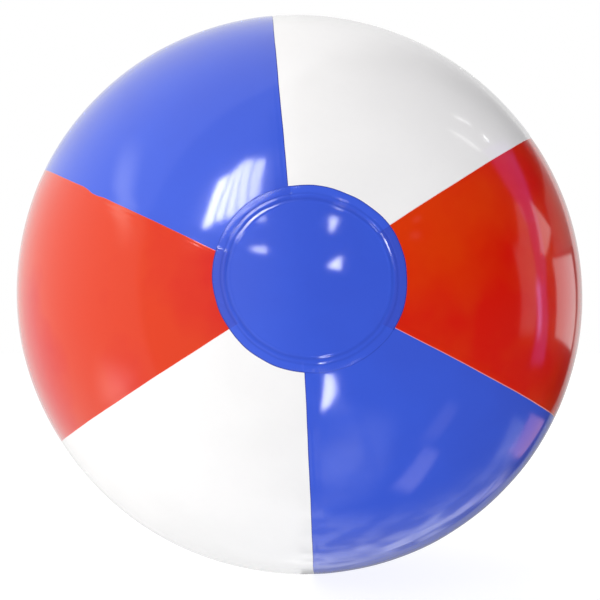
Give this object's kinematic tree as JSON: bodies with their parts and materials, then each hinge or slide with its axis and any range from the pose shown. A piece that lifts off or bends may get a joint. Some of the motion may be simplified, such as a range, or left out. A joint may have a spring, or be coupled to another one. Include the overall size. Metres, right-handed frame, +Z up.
{
  "type": "inflatable beach ball",
  "caption": "Inflated beach ball of red, white and blue vinyl panels with blue end discs and a push-in air valve with a tethered plug.",
  "frame": {"origin": "centre of the inflated ball", "axes": "+Y along the polar axis, out of the air valve; -Y out of the plain end disc; +Z up; +X to the right as seen from the plain disc's side"},
  "size_m": [0.3, 0.3005, 0.3],
  "materials": {
    "film_red": "gloss",
    "film_white": "gloss",
    "film_blue": "gloss",
    "valve_vinyl": "satin, slightly see-through",
    "flap_film": "gloss"
  },
  "bodies": {
    "ball": {"panel_white_upper_right": "film_white", "panel_blue_upper_left": "film_blue", "panel_red_left": "film_red", "panel_white_lower_left": "film_white", "panel_blue_lower_right": "film_blue", "panel_red_right": "film_red", "end_disc_front": "film_blue", "end_disc_rear": "film_blue", "valve_flange": "valve_vinyl", "valve_skirt": "valve_vinyl"},
    "valve": {"valve_stem": "valve_vinyl"},
    "plug": {"stopper_plug": "valve_vinyl", "plug_strap": "valve_vinyl"},
    "flap": {"check_flap": "flap_film"}
  },
  "joints": [
    {"name": "valve_slide", "type": "slide", "parent": "ball", "child": "valve", "axis": [0, 1, 0], "range_m": [0, 0.022], "deforming": ["valve_skirt"]},
    {"name": "plug_hinge", "type": "hinge", "parent": "valve", "child": "plug", "pos_m": [0, 0.1479, 0.0085], "axis": [1, 0, 0], "range_deg": [0, 120], "deforming": ["plug_strap"]},
    {"name": "flap_hinge", "type": "hinge", "parent": "valve", "child": "flap", "pos_m": [0, 0.1347, 0.0049], "axis": [-1, 0, 0], "range_deg": [0, 60], "stiffness_Nm_per_rad": 0.00002}
  ]
}
